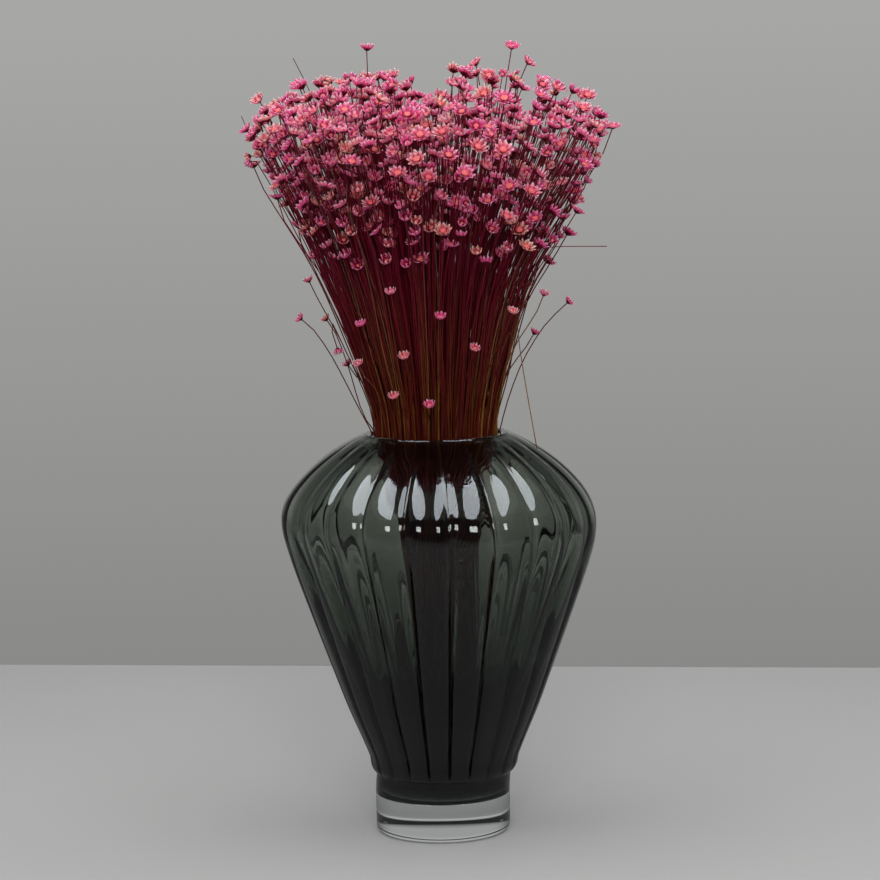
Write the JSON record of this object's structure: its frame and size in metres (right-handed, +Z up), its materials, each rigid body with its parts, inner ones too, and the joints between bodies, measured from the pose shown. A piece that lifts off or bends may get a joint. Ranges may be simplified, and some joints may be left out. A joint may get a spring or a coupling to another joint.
{
  "type": "dried glixia in vase",
  "caption": "Bunch of dried pink glixia star flowers on fine stems, standing in a ribbed smoked glass vase with a clear glass foot.",
  "frame": {"origin": "middle of the clear foot's flat underside", "axes": "+Z up along the vase's axis; -Y is the side seen in the picture, +X is to the right in the picture"},
  "size_m": [0.2343, 0.2257, 0.4897],
  "materials": {
    "clear_glass": "polished clear glass",
    "smoked_glass": "polished smoked glass, dark grey with a slight green cast",
    "dried_glixia": "dyed dried plant, papery pink bracts on wine red to brown stems, matt with a faint sheen"
  },
  "bodies": {
    "root": {"vase_foot": "clear_glass", "vase_cup": "smoked_glass", "spray_01": "dried_glixia", "spray_02": "dried_glixia", "spray_03": "dried_glixia", "spray_04": "dried_glixia", "spray_05": "dried_glixia", "spray_06": "dried_glixia", "spray_07": "dried_glixia", "spray_08": "dried_glixia", "spray_09": "dried_glixia", "spray_10": "dried_glixia", "spray_11": "dried_glixia", "spray_12": "dried_glixia", "spray_13": "dried_glixia", "spray_14": "dried_glixia", "spray_15": "dried_glixia", "spray_16": "dried_glixia", "spray_17": "dried_glixia", "spray_18": "dried_glixia", "spray_19": "dried_glixia", "spray_20": "dried_glixia", "spray_21": "dried_glixia", "spray_22": "dried_glixia", "spray_23": "dried_glixia", "spray_24": "dried_glixia", "spray_25": "dried_glixia", "spray_26": "dried_glixia", "spray_27": "dried_glixia", "spray_28": "dried_glixia", "spray_29": "dried_glixia", "spray_30": "dried_glixia", "spray_31": "dried_glixia", "spray_32": "dried_glixia", "spray_33": "dried_glixia", "spray_34": "dried_glixia", "spray_35": "dried_glixia", "spray_36": "dried_glixia", "spray_37": "dried_glixia", "spray_38": "dried_glixia", "spray_39": "dried_glixia", "spray_40": "dried_glixia", "spray_41": "dried_glixia", "spray_42": "dried_glixia", "spray_43": "dried_glixia", "spray_44": "dried_glixia", "spray_45": "dried_glixia", "spray_46": "dried_glixia", "spray_47": "dried_glixia", "spray_48": "dried_glixia", "spray_49": "dried_glixia", "spray_50": "dried_glixia"}
  },
  "joints": []
}
